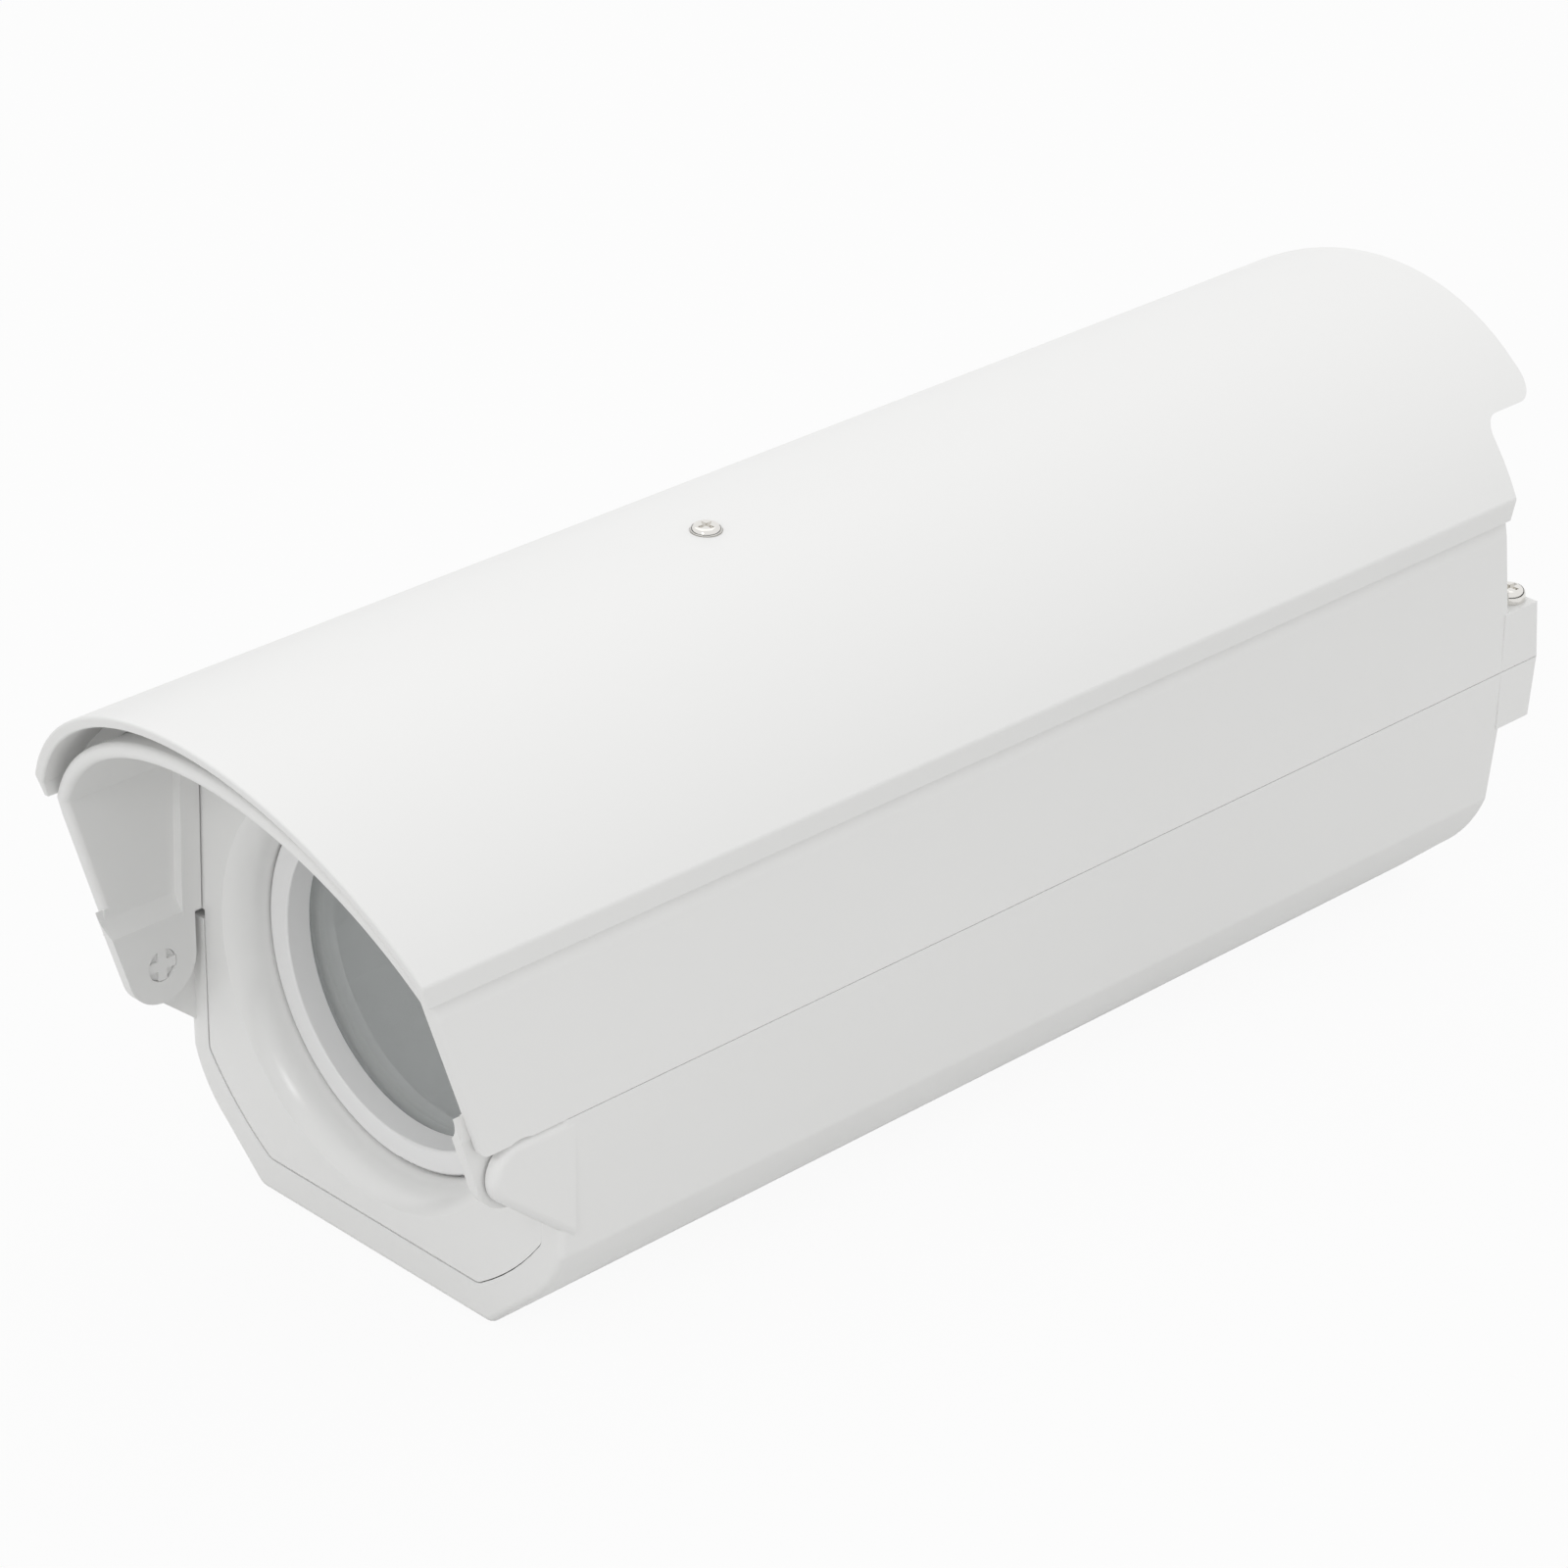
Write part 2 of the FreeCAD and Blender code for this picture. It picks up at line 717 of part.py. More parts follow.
def shieldSpacer(start):
    """Low rib inside the sunshield, which stands on the roof and keeps the air gap."""
    middle = archRadius - shieldWall / 2
    side = (skirtInner + shieldWidth / 2 - skirtLean) / 2
    foot = Vector(side, start, shieldCrest() - skirtHeight + spacerLift)
    spring = Vector(side, start, archHeight(archCentre, middle, side))
    flip = [Vector(-p.x, start, p.z) for p in (foot, spring)]
    rib = prism([
        line(flip[0], foot),
        line(foot, spring),
        arc(spring, Vector(0, start, archCentre + middle), flip[1]),
        line(flip[1], flip[0]),
    ], Vector(0, spacerThickness, 0))
    roof = coverPrism(-spacerPlay, seamHeight, start - overrun, start + spacerThickness + overrun)
    return rib.cut(roof)


def shieldRearCut():
    """Everything behind the rear edge of the sunshield, drawn in its side view."""
    x = -shieldWidth
    lean = math.tan(math.radians(shieldRearAngle))
    notchLean = math.tan(math.radians(notchAngle))
    high = shieldTop + cutMargin
    far = shieldRear + 2 * cutMargin
    notchY = rearFace - notchInset
    tongueY = shieldRear - lean * (shieldTop - tongueHeight - tongueRound)
    notchTop = tongueHeight - notchRound
    points = [
        Vector(x, notchY - notchLean * notchTop, 0),
        Vector(x, notchY, notchTop),
        Vector(x, notchY + notchRound, tongueHeight),
        Vector(x, tongueY - tongueRound, tongueHeight),
        Vector(x, tongueY, tongueHeight + tongueRound),
        Vector(x, shieldRear + lean * cutMargin, high),
        Vector(x, far, high),
        Vector(x, far, 0),
    ]
    notchPull = notchRound * cornerPull
    tonguePull = tongueRound * cornerPull
    notchMid = Vector(x, notchY + notchPull, tongueHeight - notchPull)
    tongueMid = Vector(x, tongueY - tonguePull, tongueHeight + tonguePull)
    edges = polygon(points)
    edges[1] = arc(points[1], notchMid, points[2])
    edges[3] = arc(points[3], tongueMid, points[4])
    return prism(edges, Vector(2 * shieldWidth, 0, 0))


def makeSunshield():
    start = shieldFront - cutMargin
    shell = prism(shieldSection(start), Vector(0, totalLength + 2 * cutMargin, 0))
    crests = [e for e in shell.Edges if e.BoundBox.YLength > totalLength
              and abs(abs(e.CenterOfMass.x) - shieldWidth / 2) < 0.01]
    shell = shell.makeFillet(crestRound, crests)
    shell = roundFront(shell.cut(leanCut(0)), shieldEdge).cut(shieldRearCut())
    for place in (shieldFront + spacerFront, rearFace - spacerRear):
        shell = shell.fuse(shieldSpacer(place))
    seat = Vector(0, -shieldScrewForward, shieldTop - shieldSeatDepth)
    shell = shell.cut(rod(shieldHeadRadius + shieldSeatPlay, cutMargin, seat, up))
    return shell.cut(rod(shieldScrewRadius + screwClearance, 2 * cutMargin,
                         seat - Vector(0, 0, cutMargin), up))


def makeFrontPanel():
    glassFront = windowY + ringLength
    shoulderFront = glassFront + glassThickness + gasketThickness
    rear = shoulderFront + shoulderThickness
    pocket = glassRadius + glassGap
    plate = panelBlock(0, panelFront, panelThickness)
    plate = plate.fuse(rod(boreRadius + barrelWall, rear - panelFront - overrun,
                           Vector(0, panelFront + overrun, windowHeight), back))
    points = [
        Vector(0, panelFront - overrun, 0),
        Vector(funnelRadius, panelFront - overrun, 0),
        Vector(funnelRadius, panelFront, 0),
        Vector(boreRadius, panelFront + funnelDepth, 0),
        Vector(boreRadius, glassFront, 0),
        Vector(pocket, glassFront, 0),
        Vector(pocket, shoulderFront, 0),
        Vector(shoulderRadius, shoulderFront, 0),
        Vector(shoulderRadius, rear + overrun, 0),
        Vector(0, rear + overrun, 0),
    ]
    edges = polygon(points)
    edges[2] = tangentArc(points[3], points[2], back * -1)
    plate = plate.cut(turned(edges))
    for sx in (-1, 1):
        for x, z in panelScrewPlaces():
            pilotStart = Vector(sx * x, panelBack, z)
            plate = plate.cut(rod(panelScrewRadius, panelPilotDepth, pilotStart, back * -1))
    return plate.cut(panelSealBand(sealPlay)).removeSplitter()


def panelSealBand(grow):
    """Strip that stands round the upright and arched edge of the front panel."""
    start = panelFront + panelThickness / 2 - sealWidth / 2 - grow
    depth = sealWidth + 2 * grow
    outer = prism(panelOutline(panelSealOuter, start), Vector(0, depth, 0))
    inner = prism(panelOutline(-panelSealInner - grow, start - overrun), Vector(0, depth + 2 * overrun, 0))
    keep = Part.makeBox(2 * width, depth + 2 * overrun, width,
                        Vector(-width, start - overrun, seamHeight + panelSealFoot - grow))
    return outer.cut(inner).common(keep)


def makeWindowRing():
    rear = windowY + ringLength
    outer = boreRadius - ringGap
    ring = turned(polygon([
        Vector(ringBore, windowY, 0),
        Vector(outer, windowY, 0),
        Vector(outer, rear, 0),
        Vector(ringBore - ringTaper, rear, 0),
    ]))
    front = [e for e in ring.Edges
             if e.Curve.TypeId == "Part::GeomCircle" and e.CenterOfMass.y < rear - overrun]
    return ring.makeFillet(ringEdge, front)


def makeWindowGlass():
    glass = rod(glassRadius, glassThickness, Vector(0, windowY + ringLength, windowHeight), back)
    return glass.makeChamfer(glassEdge, [e for e in glass.Edges if e.Curve.TypeId == "Part::GeomCircle"])


def makeWindowGasket():
    start = Vector(0, windowY + ringLength + glassThickness, windowHeight)
    return washer(glassRadius, shoulderRadius, gasketThickness, start, back)


def makeCameraPlate():
    half = plateWidth / 2
    sheet = Part.makeBox(plateWidth, plateLength, plateThickness, Vector(-half, -plateLength / 2, plateLevel))
    upright = [e for e in sheet.Edges if abs(e.BoundBox.ZLength - plateThickness) < 0.1]
    sheet = sheet.makeFillet(plateCorner, upright)
    flangeLength = plateLength - 2 * plateFlangeInset
    for x in (-half, half - plateThickness):
        sheet = sheet.fuse(Part.makeBox(plateThickness, flangeLength, plateFlange,
                                        Vector(x, -flangeLength / 2, plateLevel)))
    depth = plateThickness + 2 * overrun
    low = plateLevel - overrun
    run = slotLength - slotWidth
    sheet = sheet.cut(Part.makeBox(slotWidth, run, depth, Vector(-slotWidth / 2, -run / 2, low)))
    for sy in (-1, 1):
        sheet = sheet.cut(rod(slotWidth / 2, depth, Vector(0, sy * run / 2, low), up))
        for sx in (-1, 1):
            place = Vector(sx * plateScrewX, sy * plateScrewY, low)
            sheet = sheet.cut(rod(plateScrewRadius + washerClearance, depth, place, up))
    return sheet.removeSplitter()


def makePlateScrews():
    screws = []
    for sx in (-1, 1):
        for sy in (-1, 1):
            seat = Vector(sx * plateScrewX, sy * plateScrewY, plateLevel + plateThickness)
            screws.append(panScrew(plateScrewRadius, plateScrewLength, plateHeadRadius,
                                   plateHeadHeight, seat, up))
    return Part.makeCompound(screws)


def makeCameraScrew():
    """Thumb screw for the camera: fluted head under the plate, shank up through the slot."""
    top = Vector(0, 0, plateLevel - cameraScrewPlay)
    head = rod(cameraHeadRadius, cameraHeadHeight, top, down)
    for k in range(fluteCount):
        angle = 2 * math.pi * k / fluteCount
        rim = Vector(cameraHeadRadius * math.cos(angle), cameraHeadRadius * math.sin(angle), -overrun)
        head = head.cut(rod(fluteRadius, cameraHeadHeight, top + rim, down))
    thread = rod(cameraScrewRadius, cameraScrewLength, top + up * cameraNeckLength, up)
    return head.fuse(rod(cameraNeckRadius, cameraNeckLength, top, up)).fuse(thread)


def makeCameraWasher():
    base = Vector(0, 0, plateLevel + plateThickness + cameraScrewPlay)
    return washer(cameraWasherRadius, cameraScrewRadius + washerClearance, cameraWasherThickness, base, up)


def makePanelScrews():
    screws = []
    for sx in (-1, 1):
        for x, z in panelScrewPlaces():
            screws.append(panScrew(panelScrewRadius - panelScrewPlay, panelScrewLength, panelScrewHeadRadius,
                                   panelScrewHeadHeight, Vector(sx * x, wallBack, z), back))
    return Part.makeCompound(screws)


def makeCoverScrews():
    screws = []
    for sx in (-1, 1):
        seat = Vector(sx * lugX, lugY, lugTop + washerThickness)
        screws.append(panScrew(coverScrewRadius, coverScrewLength, coverHeadRadius,
                               coverHeadHeight, seat, up))
    return Part.makeCompound(screws)


def makeCoverWashers():
    bore = coverScrewRadius + washerClearance
    return Part.makeCompound([
        washer(coverWasherRadius, bore, washerThickness, Vector(sx * lugX, lugY, lugTop), up)
        for sx in (-1, 1)
    ])


def makeCoverInserts():
    bore = coverScrewRadius + screwClearance
    return Part.makeCompound([
        washer(insertRadius, bore, insertLength, Vector(sx * lugX, lugY, seamHeight), down)
        for sx in (-1, 1)
    ])


def makeBracketInserts():
    inserts = []
    for sx in (-1, 1):
        for sy in (-1, 1):
            base = Vector(sx * bracketX, sy * bracketY, 0)
            sleeve = rod(bracketInsertRadius, bracketInsertLength, base, up)
            inserts.append(sleeve.cut(rod(bracketInsertBore, bracketInsertLength - overrun, base, up)))
    return Part.makeCompound(inserts)


def makeShieldScrew():
    seat = Vector(0, -shieldScrewForward, shieldTop - shieldSeatDepth)
    return panScrew(shieldScrewRadius - shieldScrewPlay, shieldScrewLength, shieldHeadRadius,
                    shieldHeadHeight, seat, up)


def makeShieldWasher():
    """Sealing washer between the sunshield and its boss, bent to the underside of the sunshield."""
    upper = archRadius - shieldWall - shieldWasherPlay
    lower = archRadius - shieldWall - shieldWasherThickness + shieldWasherPlay
    disc = washer(shieldWasherRadius, shieldScrewRadius + washerClearance, archRadius,
                  Vector(0, -shieldScrewForward, archCentre), up)
    length = 4 * shieldWasherRadius
    start = Vector(0, -shieldScrewForward - length / 2, archCentre)
    return disc.common(washer(upper, lower, length, start, back))


def glandPlace(offset):
    return Vector(0, glandFace + offset, glandHeight)


def makeGlandBody():
    start = glandPlace(glandWasherThickness)
    body = hexagon(glandHexWidth, glandFlange, start)
    body = body.fuse(rod(glandThreadRadius, glandWasherThickness + glandPad + glandTail, start, back * -1))
    body = body.fuse(rod(glandThreadRadius - glandNeckStep, glandNeck, start + back * glandFlange, back))
    length = glandTail + glandPad + glandWasherThickness + glandFlange + glandNeck
    tail = glandPlace(-glandPad - glandTail - overrun)
    return body.cut(rod(glandBore + glandCone, length + 2 * overrun, tail, back))


def makeGlandWasher():
    return washer(glandThreadRadius + glandWasherRim, glandThreadRadius + glandPlay,
                  glandWasherThickness, glandPlace(0), back)


def makeGlandLocknut():
    start = glandPlace(-glandPad - locknutLength)
    return hexagon(glandHexWidth, locknutLength, start).cut(
        rod(glandThreadRadius + glandPlay, locknutLength, start, back))


def makeGlandSeal():
    start = glandPlace(glandWasherThickness + glandFlange - glandSealSink)
    return washer(glandBore + glandCone - glandPlay, glandSealBore, glandSealLength, start, back)


def makeGlandNut():
    start = glandPlace(glandWasherThickness + glandFlange + glandNutGap)
    nut = hexagon(glandHexWidth, glandNutStraight, start)
    nut = nut.fuse(Part.makeCone(glandHexWidth / 2, glandThreadRadius, glandNutLength - glandNutStraight,
                                 start + back * glandNutStraight, back))
    inside = glandThreadRadius - glandNeckStep + glandPlay
    nut = nut.cut(rod(inside, glandNutLength - glandNutFloor, start, back))
    return nut.cut(rod(glandBore, glandNutLength, start, back))


parts = {
    "lower_shell": makeLowerShell,
    "upper_shell": makeUpperShell,
    "sunshield": makeSunshield,
    "sunshield_screw": makeShieldScrew,
    "sunshield_washer": makeShieldWasher,
    "front_panel": makeFrontPanel,
    "panel_seal": lambda: panelSealBand(0),
    "panel_screws": makePanelScrews,
    "window_ring": makeWindowRing,
    "window_glass": makeWindowGlass,
    "window_gasket": makeWindowGasket,
    "cover_seal": lambda: sealGroove(0, seamHeight - sealDepth, seamHeight + seamGap - sealPlay),
    "cover_screws": makeCoverScrews,
    "cover_screw_washers": makeCoverWashers,
    "cover_screw_inserts": makeCoverInserts,
    "bracket_inserts": makeBracketInserts,
    "camera_plate": makeCameraPlate,
    "camera_plate_screws": makePlateScrews,
    "camera_screw": makeCameraScrew,
    "camera_screw_washer": makeCameraWasher,
    "gland_body": makeGlandBody,
    "gland_washer": makeGlandWasher,
    "gland_locknut": makeGlandLocknut,
    "gland_seal": makeGlandSeal,
    "gland_nut": makeGlandNut,
}

os.makedirs("parts", exist_ok=True)
for name, make in parts.items():
    shape = make()
    print(name, shape.isValid(), len(shape.Solids), round(shape.Volume, 1))
    shape.exportStep("parts/" + name + ".step")
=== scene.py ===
# Looks for the outdoor camera housing: finishes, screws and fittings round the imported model.
# Everything is in metres, in the model's own frame; mm is one millimetre.
import bpy
import bmesh
import json
import math
from mathutils import Matrix, Vector


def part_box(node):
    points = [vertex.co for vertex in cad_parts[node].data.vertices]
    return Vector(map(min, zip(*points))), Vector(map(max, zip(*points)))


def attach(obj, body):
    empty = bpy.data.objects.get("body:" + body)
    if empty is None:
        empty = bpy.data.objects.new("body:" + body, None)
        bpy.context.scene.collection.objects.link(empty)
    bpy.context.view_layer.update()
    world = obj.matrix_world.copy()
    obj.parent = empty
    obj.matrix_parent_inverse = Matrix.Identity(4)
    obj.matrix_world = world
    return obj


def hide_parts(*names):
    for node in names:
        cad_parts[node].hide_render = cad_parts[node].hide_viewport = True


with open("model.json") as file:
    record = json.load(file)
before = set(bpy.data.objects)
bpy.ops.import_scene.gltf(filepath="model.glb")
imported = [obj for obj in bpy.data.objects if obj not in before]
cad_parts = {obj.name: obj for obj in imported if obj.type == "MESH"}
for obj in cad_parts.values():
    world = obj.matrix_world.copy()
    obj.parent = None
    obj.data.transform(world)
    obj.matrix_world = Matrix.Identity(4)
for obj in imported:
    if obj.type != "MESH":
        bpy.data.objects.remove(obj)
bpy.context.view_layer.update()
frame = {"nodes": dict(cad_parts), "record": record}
nodes = frame["nodes"]
mm = 0.001
print("model loaded:", len(nodes), "nodes")


def hexColour(value):
    # sRGB hex to the linear colour that shaders want
    channels = []
    for k in (0, 2, 4):
        c = int(value[k:k + 2], 16) / 255
        channels.append(c / 12.92 if c <= 0.04045 else ((c + 0.055) / 1.055) ** 2.4)
    return (*channels, 1.0)


def addNode(tree, kind, settings=None, links=None):
    # both are keyed by a socket's name or number; a setting may be a property of the node too
    node = tree.nodes.new(kind)
    for key, value in (settings or {}).items():
        if isinstance(key, int) or key in node.inputs:
            node.inputs[key].default_value = value
        else:
            setattr(node, key, value)
    for key, source in (links or {}).items():
        tree.links.new(source, node.inputs[key])
    return node


# Camera: where the photograph was taken from
view = {
    "place": (0.64630, -0.65531, 0.53877),
    "azimuth": 45.264,
    "elevation": 27.663,
    "roll": 0.953,
    "lens": 124.65,
    "sensor": 36,
    "shiftX": 0.0031,
    "shiftY": -0.0043,
    "clipStart": 0.01,
}


def makeCamera():
    a, e, r = (math.radians(view[k]) for k in ("azimuth", "elevation", "roll"))
    back = Vector((math.sin(a) * math.cos(e), -math.cos(a) * math.cos(e), math.sin(e)))
    side = Vector((math.cos(a), math.sin(a), 0))
    top = back.cross(side)
    turned = math.cos(r) * side + math.sin(r) * top
    data = bpy.data.cameras.new("camera")
    data.lens = view["lens"]
    data.sensor_width = view["sensor"]
    data.shift_x = view["shiftX"]
    data.shift_y = view["shiftY"]
    data.clip_start = view["clipStart"]
    camera = bpy.data.objects.new("camera", data)
    bpy.context.scene.collection.objects.link(camera)
    axes = Matrix((turned, back.cross(turned), back)).transposed().to_4x4()
    camera.matrix_world = Matrix.Translation(Vector(view["place"])) @ axes
    bpy.context.scene.camera = camera


makeCamera()

# Studio: an even white room, one broad softbox overhead, a small one in front and a pale floor
studio = {
    "room": 0.91,
    "softboxes": [
        # place, size, watts
        ((-0.60, 0.30, 1.5), 1.4, 2.1),
        ((0.40, -1.20, 0.88), 0.25, 1.75),
    ],
    "aim": (0, 0, 0.06),
    "floorSize": 8.0,
    "floorDrop": 0.3 * mm,
    "floorColour": "D2D2D1",
    "floorLift": 0.93,
    # the dark room beyond the white paper, which only reflections pick up: distance and height,
    # then the bearing and half width of the gap that keeps the sheen of the roof
    "surround": (2.2, 0.42),
    "surroundGap": (135, 18),
    "surroundColour": "2A2A2A",
}


def seenDirectly(tree):
    # 1 for rays that show the background: from the camera, in a gloss or through the pane
    rays = addNode(tree, "ShaderNodeLightPath")
    two = addNode(tree, "ShaderNodeMath", {"operation": "MAXIMUM"},
                  {0: rays.outputs["Is Camera Ray"], 1: rays.outputs["Is Glossy Ray"]})
    return addNode(tree, "ShaderNodeMath", {"operation": "MAXIMUM"},
                   {0: two.outputs[0], 1: rays.outputs["Is Transmission Ray"]}).outputs[0]


def makeStudio():
    bpy.context.scene.view_settings.view_transform = "Standard"
    world = bpy.data.worlds.new("studio")
    bpy.context.scene.world = world
    world.use_nodes = True
    tree = world.node_tree
    tree.nodes.clear()
    room = addNode(tree, "ShaderNodeBackground",
                   {"Color": (1, 1, 1, 1), "Strength": studio["room"]})
    white = addNode(tree, "ShaderNodeBackground", {"Color": (1, 1, 1, 1), "Strength": 1.0})
    mix = addNode(tree, "ShaderNodeMixShader", None,
                  {0: seenDirectly(tree), 1: room.outputs[0], 2: white.outputs[0]})
    addNode(tree, "ShaderNodeOutputWorld", None, {0: mix.outputs[0]})
    for k, (place, size, watts) in enumerate(studio["softboxes"]):
        data = bpy.data.lights.new(f"softbox{k}", "AREA")
        data.shape = "SQUARE"
        data.size = size
        data.energy = watts
        lamp = bpy.data.objects.new(f"softbox{k}", data)
        bpy.context.scene.collection.objects.link(lamp)
        aim = Vector(studio["aim"]) - Vector(place)
        turn = aim.to_track_quat("-Z", "Y").to_matrix().to_4x4()
        lamp.matrix_world = Matrix.Translation(Vector(place)) @ turn


def makeFloor():
    mesh = bpy.data.meshes.new("floor")
    bm = bmesh.new()
    bmesh.ops.create_grid(bm, x_segments=1, y_segments=1, size=studio["floorSize"] / 2)
    bm.to_mesh(mesh)
    bm.free()
    floor = bpy.data.objects.new("floor", mesh)
    bpy.context.scene.collection.objects.link(floor)
    mesh.transform(Matrix.Translation((0, 0, -studio["floorDrop"])))
    paper = bpy.data.materials.new("studio paper")
    paper.use_nodes = True
    tree = paper.node_tree
    tree.nodes.clear()
    matt = addNode(tree, "ShaderNodeBsdfDiffuse", {"Color": hexColour(studio["floorColour"])})
    glow = addNode(tree, "ShaderNodeEmission", {"Color": (1, 1, 1, 1), "Strength": 1.0})
    share = addNode(tree, "ShaderNodeMath", {"operation": "MULTIPLY", 1: studio["floorLift"]},
                    {0: seenDirectly(tree)})
    mix = addNode(tree, "ShaderNodeMixShader", None,
                  {0: share.outputs[0], 1: matt.outputs[0], 2: glow.outputs[0]})
    addNode(tree, "ShaderNodeOutputMaterial", None, {0: mix.outputs[0]})
    mesh.materials.append(paper)


def makeSurround():
    # a dark ring of wall with a gap, left out of everything but reflections
    distance, height = studio["surround"]
    bm = bmesh.new()
    bmesh.ops.create_cone(bm, cap_ends=False, segments=64, radius1=distance, radius2=distance,
                          depth=height, matrix=Matrix.Translation((0, 0, height / 2)))
    bearing, half = studio["surroundGap"]
    toGap = Vector((math.cos(math.radians(bearing)), math.sin(math.radians(bearing)), 0))
    gap = [f for f in bm.faces if math.degrees(f.calc_center_median().xy.angle(toGap.xy)) < half]
    bmesh.ops.delete(bm, geom=gap, context="FACES")
    mesh = bpy.data.meshes.new("surround")
    bm.to_mesh(mesh)
    bm.free()
    surround = bpy.data.objects.new("surround", mesh)
    bpy.context.scene.collection.objects.link(surround)
    for rays in ("camera", "diffuse", "transmission", "shadow"):
        setattr(surround, "visible_" + rays, False)
    dark = bpy.data.materials.new("dark room")
    dark.use_nodes = True
    tree = dark.node_tree
    tree.nodes.clear()
    matt = addNode(tree, "ShaderNodeBsdfDiffuse", {"Color": hexColour(studio["surroundColour"])})
    addNode(tree, "ShaderNodeOutputMaterial", None, {0: matt.outputs[0]})
    mesh.materials.append(dark)


makeStudio()
makeFloor()
makeSurround()
print("camera and studio ready")


def newMaterial(name):
    material = bpy.data.materials.new(name)
    material.use_nodes = True
    tree = material.node_tree
    tree.nodes.clear()
    place = addNode(tree, "ShaderNodeTexCoord").outputs["Object"]
    return material, tree, place


def finishMaterial(tree, shader):
    addNode(tree, "ShaderNodeOutputMaterial", None, {0: shader.outputs[0]})


def grainBump(tree, place, grain, depth, detail=2.0, under=None):
    # bump from noise whose grains are that far apart, in metres
    noise = addNode(tree, "ShaderNodeTexNoise", {"Scale": 1 / grain, "Detail": detail},
                    {"Vector": place})
    links = {"Height": noise.outputs["Fac"]}
    if under:
        links["Normal"] = under
    bump = addNode(tree, "ShaderNodeBump", {"Strength": 1.0, "Distance": depth}, links)
    return bump.outputs["Normal"]


# White ABS, injection moulded in a spark-finished tool: satin, with a very fine even grain
# (0.15 mm on the real one, drawn at 0.5 mm so that it shows) and long shallow flow waves.
whiteAbs = {
    "colour": "EEEEED",
    "ringColour": "F0F0F0",
    "roughness": 0.42,
    "ringRoughness": 0.36,
    "frontRoughness": 0.24,
    "grain": 0.5 * mm,
    "grainDepth": 0.004 * mm,
    "wave": 28 * mm,
    "waveDepth": 0.05 * mm,
    "glossPatch": 11 * mm,
    "glossSpread": 0.05,
    "ior": 1.53,
}


def mouldedAbs(name, colour, roughness):
    material, tree, place = newMaterial(name)
    a = whiteAbs
    waves = grainBump(tree, place, a["wave"], a["waveDepth"], 1.0)
    grain = grainBump(tree, place, a["grain"], a["grainDepth"], 3.0, waves)
    gloss = addNode(tree, "ShaderNodeTexNoise", {"Scale": 1 / a["glossPatch"], "Detail": 3.0},
                    {"Vector": place})
    spread = {"To Min": roughness - a["glossSpread"], "To Max": roughness + a["glossSpread"]}
    rough = addNode(tree, "ShaderNodeMapRange", spread, {"Value": gloss.outputs["Fac"]})
    shader = addNode(tree, "ShaderNodeBsdfPrincipled",
                     {"Base Color": hexColour(colour), "IOR": a["ior"]},
                     {"Roughness": rough.outputs[0], "Normal": grain})
    finishMaterial(tree, shader)
    return material


shellAbs = mouldedAbs("white moulded ABS", whiteAbs["colour"], whiteAbs["roughness"])
ringAbs = mouldedAbs("white moulded ABS, ring", whiteAbs["ringColour"], whiteAbs["ringRoughness"])
# the front panel comes from a smoother tool, so its funnel catches the light
frontAbs = mouldedAbs("white moulded ABS, front", whiteAbs["colour"], whiteAbs["frontRoughness"])


def plainMaterial(name, colour, roughness, metallic=0.0, grain=0.4 * mm, depth=0.004 * mm):
    # moulded or turned: one colour under a fine grain of that spacing and depth
    material, tree, place = newMaterial(name)
    values = {"Base Color": hexColour(colour), "Metallic": metallic, "Roughness": roughness}
    if not metallic:
        values["IOR"] = 1.5    # nylon and silicone are both near this
    shader = addNode(tree, "ShaderNodeBsdfPrincipled", values,
                     {"Normal": grainBump(tree, place, grain, depth)})
    finishMaterial(tree, shader)
    return material


# Clear acrylic, cast and polished: the eye looks through it, past the pale veil that the bright
# surroundings lay on both of its faces.
# That veil is a painted reflection: a pale colour that covers a share of the pane.
pane = {"colour": "D6DADA", "cover": 0.34, "roughness": 0.04, "ior": 1.49,
        "ripple": 25 * mm, "rippleDepth": 0.01 * mm,
        "play": 0.03, "bevel": 0.4}


def clearPane():
    material, tree, place = newMaterial("clear acrylic pane, painted veil")
    ripple = grainBump(tree, place, pane["ripple"], pane["rippleDepth"], 1.0)
    # the pale base colour and the alpha cover paint the reflection of the bright surroundings
    shader = addNode(tree, "ShaderNodeBsdfPrincipled", {
        "Base Color": hexColour(pane["colour"]), "Roughness": pane["roughness"],
        "IOR": pane["ior"], "Alpha": pane["cover"]}, {"Normal": ripple})
    finishMaterial(tree, shader)
    return material


finishes = {
    "white_abs": shellAbs,
    "white_abs_ring": ringAbs,
    "clear_window": clearPane(),
    "seal_rubber": plainMaterial("grey silicone rubber", "8A8C8D", 0.6, 0.0, 0.3 * mm, 0.02 * mm),
    "steel_screw": plainMaterial("bright nickel-plated steel", "E4E2DE", 0.12, 1.0, 0.5 * mm,
                                 0.002 * mm),
    "brass_insert": plainMaterial("turned brass", "C9A557", 0.28, 1.0),
    "zinc_plate": plainMaterial("zinc-plated sheet steel", "B4B7B8", 0.38, 1.0, 3 * mm, 0.01 * mm),
    "nylon_washer": plainMaterial("natural nylon", "E2DFD4", 0.5),
    "grey_nylon": plainMaterial("light grey polyamide", "B9BCBD", 0.45, 0.0, 0.5 * mm, 0.006 * mm),
}
for entry in frame["record"]["subparts"]:
    mesh = nodes[entry["node"]].data
    mesh.materials.clear()
    mesh.materials.append(finishes[entry["material_slot"]])
nodes["front_panel"].data.materials[0] = frontAbs
# this gasket shows through the pane; its colour is painted paler than the grey seal rubber, as
# painted light for the light it gets through the acrylic
nodes["window_gasket"].data.materials[0] = plainMaterial("gasket silicone, painted pale", "F0F0EE", 0.5)
print("finishes given to", len(nodes), "nodes")


